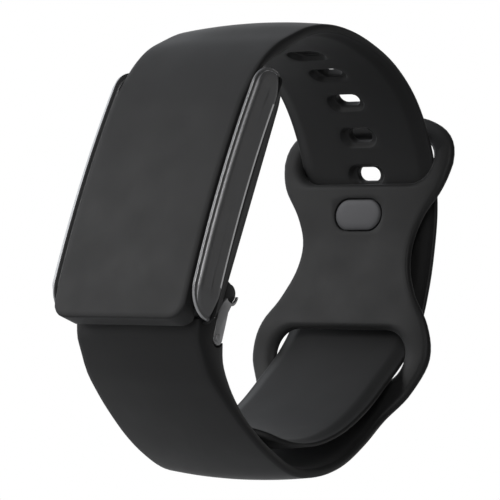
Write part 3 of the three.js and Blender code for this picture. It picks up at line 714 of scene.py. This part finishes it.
def build_back_shell():
    """The case: a cavity open to the front, the core between the rails, a rounded back, a window seat."""
    # Each section is depth y, half x, half z, corner radius and share of the bow.
    rim = -0.45
    shoulder = rail_back_y + 0.12
    sections = [(5.5, 10.9, 17.4, 1.5, 0), (3.9, 11.1, 19.4, 1.5, 0), (rim + 0.1, 11.1, 19.4, 1.5, 1),
                (rim, 11.2, 19.5, 1.5, 1), (rim, 12.6, 20.25, 1.9, 1), (rim + 0.15, 12.75, 20.5, 2, 1),
                (0.6, 12.8, 20.9, 2.1, 0.9), (shoulder - 0.1, 12.8, 21.1, 2.2, 1),
                (shoulder, 12.9, 21.15, 2.2, 1), (shoulder, 14.15, 21.4, 1.3, 1),
                (shoulder + 0.08, 14.42, 21.5, 1.35, 1), (shoulder + 0.25, 14.52, 21.56, 1.4, 1)]
    for y, half_x in ((2.6, 14.5), (3.3, 14.28), (4.1, 13.96), (4.8, 13.62), (5.35, 13.27), (5.8, 12.92),
                      (6.15, 12.5), (6.4, 12.1), (6.55, 11.65), (shell_back_y, 11.1)):
        bend = float(np.interp(y, [1.6, 4.6], [0.9, 0.0]))
        radius = float(np.interp(y, [1.6, 6.6], [1.4, 3.3]))
        sections.append((y, half_x, case_half_length(y + 0.4 * bend), radius, bend))
    for y, grow in ((shell_back_y, 0.45), (shell_back_y, 0.2), (shell_back_y - 0.05, 0.13),
                    (shell_back_y - 0.18, 0.1), (5.65, 0.1)):
        sections.append((y, window_half + grow, window_half + grow, 2.4 + grow, 0))
    rings = [round_box_ring(*section) for section in sections]
    body = banded_skin("case_body", rings)
    smooth_by_angle(body, 40)
    parts = [body]
    for side in (-1, 1):
        outline = []
        for angle in np.radians(np.linspace(-100, 100, 25)):
            outline.append((barrel_y + barrel_radius * math.cos(angle),
                            barrel_z + barrel_radius * math.sin(angle)))
        root_y, root_half = shell_back_y - 0.4, 1.8
        outline += [(root_y, barrel_z + root_half), (root_y, barrel_z - root_half)]
        parts.append(prism_x("ear", outline, side * barrel_inner_x, side * barrel_outer_x, 0.2))
    piece = join(parts, "case_with_ears")
    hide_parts("back_shell")
    return piece


def prism_x(name, outline, x_from, x_to, edge):
    """An outline in (y, z) drawn out along X, its edges softened over edge mm unless that is 0."""
    count = len(outline)
    points = [(x, y - skin_face_y, z) for x in sorted((x_from, x_to)) for y, z in outline]
    faces = [tuple(range(count)), tuple(range(count, 2 * count))]
    for i in range(count):
        j = (i + 1) % count
        faces.append((i, j, count + j, count + i))
    piece = mesh_object(name, np.array(points) * MM, faces)
    if edge:
        bevel(piece, edge)
    return smooth_by_angle(piece, 35)


def rod_x(name, radius, half_x, y, z):
    """A round bar along X, centred on the middle, with soft ends."""
    edge = 0.15
    turns = np.linspace(0, 2 * math.pi, 40, endpoint=False)
    end = [(half_x, radius - edge), (half_x - edge * 0.3, radius - edge * 0.3), (half_x - edge, radius)]
    rings = []
    for x, r in [(-x, r) for x, r in end] + end[::-1]:
        rings.append([(x, y - skin_face_y + r * math.cos(a), z + r * math.sin(a)) for a in turns])
    return smooth_by_angle(banded_skin(name, rings), 40)


def join(parts, name):
    """Joins mesh pieces into one new piece, keeping their shading."""
    work = bmesh.new()
    for part in parts:
        work.from_mesh(part.data)
    mesh = bpy.data.meshes.new(name)
    work.to_mesh(mesh)
    work.free()
    for part in parts:
        bpy.data.objects.remove(part)
    return link_new(name, mesh)


def build_link():
    """The steel link: a rolled knuckle on the bar, a web, and a leg down each side to the pin."""
    hug = barrel_radius - 0.1
    sheet_from, sheet_to = 7.15, 7.65        # the web's and the tab's two faces
    leg = [(pin_y - leg_radius, pin_z), (6.0, -17.6)]
    for angle in np.linspace(-2.3, 0.1, 20):
        leg.append((barrel_y + hug * math.cos(angle), barrel_z + hug * math.sin(angle)))
    for angle in np.linspace(0.06, -1.25, 14):
        reach = hug + 0.2 + 0.28 * smoothstep((0.06 - angle) / 1.31)
        leg.append((barrel_y + reach * math.cos(angle), barrel_z + reach * math.sin(angle)))
    leg += [(8.4, -17.3), (8.55, -18.6)]
    for angle in np.linspace(0, -math.pi, 25)[:-1]:
        leg.append((pin_y + leg_radius * math.cos(angle), pin_z + leg_radius * math.sin(angle)))
    parts = []
    for side in (-1, 1):
        parts.append(prism_x("leg", leg, side * leg_inner_x, side * (leg_inner_x + link_sheet), 0.05))
    half = leg_inner_x + link_sheet - 0.05
    web = [(sheet_from, -17.7), (sheet_from, -16.35), (sheet_to, -16.35), (sheet_to, -17.7)]
    parts.append(prism_x("web", web, -half, half, 0.12))
    roll_half = barrel_inner_x - 0.2
    tab = [(sheet_from, -16.5), (sheet_from, -14.9), (sheet_to, -14.9), (sheet_to, -16.5)]
    parts.append(prism_x("tab", tab, -roll_half, roll_half, 0.1))
    parts.append(rod_x("roll", bar_radius + 0.6, roll_half, barrel_y, barrel_z))
    piece = join(parts, "pressed_link")
    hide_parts("strap_link", "hinge_bar")
    return piece


def build_pin():
    piece = rod_x("round_pin", pin_radius, pin_half, pin_y, pin_z)
    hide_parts("link_pin")
    return piece


def stadium_loop(half_u, half_s):
    """Points once round an oblong with round ends."""
    loop = []
    for start, centre in ((-90, half_u - half_s), (90, half_s - half_u)):
        for angle in np.radians(np.linspace(start, start + 180, 21)):
            loop.append((centre + half_s * math.cos(angle), half_s * math.sin(angle)))
    return loop


def oblong_stack(name, levels):
    """Oblongs stacked along the stud's axis: (half_u, half_s, height from the skin side)."""
    y, z = short_line.read(stud_s)[:2]
    out_y, out_z = short_line.out(stud_s)
    rings = []
    for half_u, half_s, v in levels:
        ring = []
        for u, s in stadium_loop(half_u, half_s):
            ring.append((u, y + v * out_y - s * out_z - skin_face_y, z + v * out_z + s * out_y))
        rings.append(ring)
    return smooth_by_angle(banded_skin(name, rings), 34)


def build_stud():
    """The stud's flat oval head on the skin side, its neck, and the oval cap outside the long strap."""
    strap_thickness, gap = 2.1, 0.3
    skin = Line(long_stations)
    rise = meet_stud_axis(skin.values[:, 0], skin.values[:, 1])[1]
    cap_from = rise + strap_thickness + gap
    u, s = stud_half_u, stud_half_s
    head = oblong_stack("stud_head", [
        (u - 1.2, s - 1.2, -0.06), (u - 0.5, s - 0.5, -0.03), (u - 0.16, s - 0.16, 0.02),
        (u - 0.05, s - 0.05, 0.08), (u, s, 0.2), (u, s, 0.52), (u - 0.08, s - 0.08, 0.6),
        (2.05, 0.62, 0.6), (2.0, 0.55, 0.7), (2.0, 0.55, cap_from + 0.3)])
    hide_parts("stud_base")
    cap = oblong_stack("stud_keeper", [
        (2.95, 1.75, cap_from), (3.07, 1.87, cap_from + 0.06), (3.1, 1.9, cap_from + 0.16),
        (3.1, 1.9, cap_from + 0.5), (3.0, 1.8, cap_from + 0.68), (2.8, 1.6, cap_from + 0.77),
        (2.3, 1.1, cap_from + 0.8)])
    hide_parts("stud_cap")
    return head, cap


def build_window():
    """The tinted sensor pane, its edge rounded and its face slightly domed."""
    sections = [(5.75, 0.0), (6.7, 0.0), (6.82, -0.03), (6.92, -0.12), (6.98, -0.3), (7.0, -0.7),
                (7.03, -3.2)]
    rings = [round_box_ring(y, window_half + grow, window_half + grow, 2.3 + grow * 0.7, 0)
             for y, grow in sections]
    piece = smooth_by_angle(banded_skin("domed_window", rings), 50)
    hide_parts("sensor_window")
    return piece


def cut_link_pockets(strap):
    """Cuts the side recesses that the link's legs stand in."""
    swing, side_length = math.radians(36), 8       # the open side is clear of the legs' whole swing
    outline = []
    for angle in np.linspace(math.pi, 2 * math.pi - swing, 25):
        outline.append((pin_y + pocket_radius * math.cos(angle), pin_z + pocket_radius * math.sin(angle)))
    open_y, open_z = outline[-1]
    outline += [(open_y + side_length * math.sin(swing), open_z + side_length * math.cos(swing)),
                (13.6, -14), (5.2, -14), (5.6, -18)]
    cutters = [prism_x("pocket", outline, side * pocket_inner_x, side * pocket_outer_x, 0)
               for side in (-1, 1)]
    for cutter in cutters:
        cut = strap.modifiers.new("pocket", "BOOLEAN")
        cut.operation = "DIFFERENCE"
        cut.solver = "EXACT"
        cut.object = cutter
    apply_modifiers(strap)
    for cutter in cutters:
        bpy.data.objects.remove(cutter)
    return smooth_by_angle(strap, 42)


# ------------------------------------------------------------------ materials
def links(tree, *pairs):
    for source, target in pairs:
        tree.links.new(source, target)


def surface(name, color, roughness, metallic=0.0, grain=0.0, grain_size=0.3, stretch=(1, 1, 1),
            mottle=0.15, ior=1.45, sheen=0.0, coat=0.0, rough_swing=0.08):
    """A procedural surface: mottled colour, varied roughness and fine relief at real scale.

    grain is the relief's height and grain_size its width, in mm; stretch draws it out along an axis.
    """
    made = bpy.data.materials.new(name)
    made.use_nodes = True
    tree = made.node_tree
    shader = tree.nodes["Principled BSDF"]
    shader.inputs["Metallic"].default_value = metallic
    shader.inputs["IOR"].default_value = ior
    shader.inputs["Sheen Weight"].default_value = sheen
    shader.inputs["Sheen Roughness"].default_value = 0.45
    shader.inputs["Coat Weight"].default_value = coat
    shader.inputs["Coat Roughness"].default_value = 0.12
    place = tree.nodes.new("ShaderNodeTexCoord")
    patches = tree.nodes.new("ShaderNodeTexNoise")
    patches.inputs["Scale"].default_value = 160.0
    patches.inputs["Detail"].default_value = 3.0
    shade = tree.nodes.new("ShaderNodeMix")
    shade.data_type = "RGBA"
    dark = [c * (1 - mottle) for c in color]
    light = [min(1.0, c * (1 + mottle)) for c in color]
    shade.inputs["A"].default_value = (*dark, 1)
    shade.inputs["B"].default_value = (*light, 1)
    spread = tree.nodes.new("ShaderNodeMapRange")
    spread.inputs["To Min"].default_value = max(0.02, roughness - rough_swing)
    spread.inputs["To Max"].default_value = min(1.0, roughness + rough_swing)
    links(
        tree,
        (place.outputs["Object"], patches.inputs["Vector"]),
        (patches.outputs["Fac"], shade.inputs["Factor"]),
        (shade.outputs["Result"], shader.inputs["Base Color"]),
        (patches.outputs["Fac"], spread.inputs["Value"]),
        (spread.outputs["Result"], shader.inputs["Roughness"]),
    )
    if grain > 0:
        drawn = tree.nodes.new("ShaderNodeMapping")
        drawn.inputs["Scale"].default_value = stretch
        fine = tree.nodes.new("ShaderNodeTexNoise")
        fine.inputs["Scale"].default_value = 1 / (grain_size * MM)
        fine.inputs["Detail"].default_value = 2.5
        relief = tree.nodes.new("ShaderNodeBump")
        relief.inputs["Strength"].default_value = 1.0
        relief.inputs["Distance"].default_value = grain * MM
        links(
            tree,
            (place.outputs["Object"], drawn.inputs["Vector"]),
            (drawn.outputs["Vector"], fine.inputs["Vector"]),
            (fine.outputs["Fac"], relief.inputs["Height"]),
            (relief.outputs["Normal"], shader.inputs["Normal"]),
        )
    return made


silicone = surface("soft_touch_silicone", (0.0106, 0.0105, 0.0107), 0.56, grain=0.006, grain_size=0.25,
                   sheen=0.12, ior=1.43)
rail_metal = surface("dark_anodised", (0.22, 0.22, 0.222), 0.55, metallic=0.85, grain=0.004,
                     grain_size=0.09, stretch=(1, 1, 0.12))
# A brighter metal for the rail's edge bands: painted highlight lines along its chamfer and edges.
highlight_edge_metal = surface("painted_highlight_edge", (0.52, 0.52, 0.525), 0.34, metallic=1.0, grain=0.002, grain_size=0.08)
shell_plastic = surface("shell_plastic", (0.008, 0.008, 0.0085), 0.5, grain=0.008, grain_size=0.15)
window_gloss = surface("window_gloss", (0.004, 0.005, 0.007), 0.12, coat=0.6, rough_swing=0.03)
link_metal = surface("link_satin", (0.5, 0.5, 0.505), 0.45, metallic=0.9, grain=0.003, grain_size=0.07)
stud_metal = surface("stud_satin", (0.09, 0.09, 0.094), 0.5, metallic=0.7, grain=0.003, grain_size=0.1)
small_steel = surface("plain_steel", (0.5, 0.5, 0.52), 0.35, metallic=1.0, grain=0.003, grain_size=0.1)
gasket_rubber = surface("gasket_rubber", (0.05, 0.05, 0.055), 0.8, grain=0.01, grain_size=0.2)
board_green = surface("solder_mask", (0.01, 0.06, 0.03), 0.35, grain=0.006, grain_size=0.5, coat=0.2)
chip_plastic = surface("chip_plastic", (0.01, 0.01, 0.011), 0.6, grain=0.006, grain_size=0.06)
led_resin = surface("led_resin", (0.7, 0.75, 0.68), 0.15, coat=0.5, rough_swing=0.04)
battery_foil = surface("battery_foil", (0.55, 0.56, 0.58), 0.35, metallic=0.9, grain=0.05, grain_size=1.4)
flex_film = surface("flex_film", (0.4, 0.17, 0.03), 0.3, grain=0.004, grain_size=0.5)
gold_plate = surface("gold_plate", (0.75, 0.5, 0.15), 0.25, metallic=1.0, grain=0.002, grain_size=0.1)

by_slot = {
    "strap_silicone": silicone, "anodised_rail": rail_metal, "shell_plastic": shell_plastic,
    "gasket_rubber": gasket_rubber, "small_steel": small_steel, "window_plastic": window_gloss,
    "circuit_board": board_green, "chip_plastic": chip_plastic, "led_plastic": led_resin,
    "battery_foil": battery_foil, "flex_film": flex_film, "gold_plate": gold_plate,
    "link_steel": link_metal, "stud_metal": stud_metal,
}


def paint(piece, *materials):
    """Gives a piece its materials; clearing the list resets the face numbers, so they are put back."""
    numbers = [polygon.material_index for polygon in piece.data.polygons]
    piece.data.materials.clear()
    for item in materials:
        piece.data.materials.append(item)
    if len(materials) > 1:
        piece.data.polygons.foreach_set("material_index", numbers)
    return piece


slot_of = {row["node"]: row["material_slot"] for row in frame["record"]["subparts"]}
for node_name, node in frame["nodes"].items():
    paint(node, by_slot[slot_of[node_name]])

# ------------------------------------------------------------------ build
strap = paint(build_long_strap(), silicone)
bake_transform(strap)
ring_strap = paint(cut_link_pockets(build_short_strap()), silicone)
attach(ring_strap, "band")
for rail_name, rail_side in (("rail_left", -1), ("rail_right", 1)):
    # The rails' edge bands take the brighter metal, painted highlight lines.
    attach(paint(build_rail(rail_name, rail_side), rail_metal, highlight_edge_metal), "pod")
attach(paint(build_back_shell(), shell_plastic), "pod")
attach(paint(build_window(), window_gloss), "pod")
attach(paint(build_link(), link_metal), "pod")
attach(paint(build_pin(), link_metal), "band")
for stud_part in build_stud():
    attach(paint(stud_part, stud_metal), "band")


# ------------------------------------------------------------------ stage
floor_reach, floor_level = 1.5, -0.25
backdrop_radius = 2.3            # inside the views' far clip, with the whole floor inside it


def build_floor():
    mesh = bpy.data.meshes.new("floor")
    corners = [(-1, -1), (1, -1), (1, 1), (-1, 1)]
    mesh.from_pydata([(x * floor_reach, y * floor_reach, floor_level) for x, y in corners], [],
                     [(0, 1, 2, 3)])
    floor = link_new("floor", mesh)
    mesh.materials.append(surface("pale_floor", (0.8, 0.8, 0.8), 0.6, mottle=0.01))


def build_backdrop():
    """A white studio backdrop all round, which the camera sees and which lights nothing."""
    shell = bmesh.new()
    bmesh.ops.create_icosphere(shell, subdivisions=4, radius=backdrop_radius)
    mesh = bpy.data.meshes.new("backdrop")
    shell.to_mesh(mesh)
    shell.free()
    backdrop = link_new("backdrop", mesh)
    paper = bpy.data.materials.new("white_backdrop")
    paper.use_nodes = True
    shader = paper.node_tree.nodes["Principled BSDF"]
    shader.inputs["Base Color"].default_value = (0, 0, 0, 1)
    shader.inputs["Specular IOR Level"].default_value = 0.0
    shader.inputs["Emission Color"].default_value = (1, 1, 1, 1)
    shader.inputs["Emission Strength"].default_value = 1.0
    mesh.materials.append(paper)
    backdrop.visible_diffuse = False
    backdrop.visible_glossy = False
    backdrop.visible_shadow = False


def area_light(name, size, power, place, target):
    data = bpy.data.lights.new(name, "AREA")
    data.shape = "RECTANGLE"
    data.size, data.size_y = size
    data.energy = power
    lamp = link_new(name, data)
    lamp.location = place
    lamp.rotation_mode = "QUATERNION"
    lamp.rotation_quaternion = (Vector(target) - Vector(place)).to_track_quat("-Z", "Y")


camera_azimuth = math.radians(39.848)
camera_elevation = math.radians(-20.049)
camera_roll = math.radians(15.970)
camera_distance = 0.50216
camera_target = Vector((0.010735, 0.004362, -0.005054))
camera_lens = 228.58
ambient = 0.045


def camera_axes():
    """Right, up and back of the camera."""
    a, e, r = camera_azimuth, camera_elevation, camera_roll
    back = Vector((math.sin(a) * math.cos(e), -math.cos(a) * math.cos(e), math.sin(e)))
    level = Vector((math.cos(a), math.sin(a), 0))
    above = back.cross(level)
    right = math.cos(r) * level + math.sin(r) * above
    up = -math.sin(r) * level + math.cos(r) * above
    return right, up, back


def build_camera():
    right, up, back = camera_axes()
    data = bpy.data.cameras.new("camera")
    data.lens = camera_lens
    data.sensor_width = 36
    data.clip_start, data.clip_end = 0.01, 20
    camera = link_new("camera", data)
    turn = Matrix((right, up, back)).transposed()
    camera.rotation_mode = "QUATERNION"
    camera.rotation_quaternion = turn.to_quaternion()
    camera.location = camera_target + back * camera_distance
    bpy.context.scene.camera = camera


def build_world():
    """The light all round: a white wall behind the object, softboxes by direction, and a dim rest."""
    world = bpy.data.worlds.new("studio")
    bpy.context.scene.world = world
    world.use_nodes = True
    tree = world.node_tree
    background = tree.nodes["Background"]
    background.inputs["Strength"].default_value = 1.0
    place = tree.nodes.new("ShaderNodeTexCoord")
    back = camera_axes()[2]
    light = None
    # Each box is its direction, the cosines where it begins and is full, and its colour.
    boxes = [
        (-back, 0.84, 0.98, (1.0, 1.0, 1.0)),
        (Vector((-0.78, -0.6, 0.16)), 0.45, 0.97, (0.54, 0.545, 0.555)),
        (Vector((-0.92, 0.17, 0.34)), 0.72, 0.97, (0.62, 0.65, 0.69)),
        (Vector((0.2, 0.92, 0.34)), 0.88, 0.98, (0.55, 0.55, 0.55)),
        (Vector((-0.5, -0.1, 0.85)), 0.6, 0.98, (0.15, 0.155, 0.165)),
    ]
    for direction, edge, core, color in boxes:
        facing = tree.nodes.new("ShaderNodeVectorMath")
        facing.operation = "DOT_PRODUCT"
        facing.inputs[1].default_value = direction.normalized()
        ramp = tree.nodes.new("ShaderNodeMapRange")
        ramp.interpolation_type = "SMOOTHSTEP"
        ramp.inputs["From Min"].default_value = edge
        ramp.inputs["From Max"].default_value = core
        tint = tree.nodes.new("ShaderNodeMix")
        tint.data_type = "RGBA"
        tint.inputs["A"].default_value = (0, 0, 0, 1)
        tint.inputs["B"].default_value = (*color, 1)
        total = tree.nodes.new("ShaderNodeMix")
        total.data_type = "RGBA"
        total.blend_type = "ADD"
        total.inputs["Factor"].default_value = 1.0
        total.inputs["A"].default_value = (ambient, ambient, ambient, 1)
        links(
            tree,
            (place.outputs["Generated"], facing.inputs[0]),
            (facing.outputs["Value"], ramp.inputs["Value"]),
            (ramp.outputs["Result"], tint.inputs["Factor"]),
            (tint.outputs["Result"], total.inputs["B"]),
        )
        if light is not None:
            tree.links.new(light, total.inputs["A"])
        light = total.outputs["Result"]
    tree.links.new(light, background.inputs["Color"])
    bpy.context.scene.view_settings.view_transform = "Standard"


def build_lights():
    centre = (0.0, 0.02, 0.0)
    area_light("key", (0.35, 0.35), 1.5, (-0.5, -0.6, 0.1), centre)
    area_light("strip", (0.06, 0.5), 0.9, (0.36, -0.5, 0.16), centre)


build_lights()
build_camera()
build_world()
build_floor()
build_backdrop()
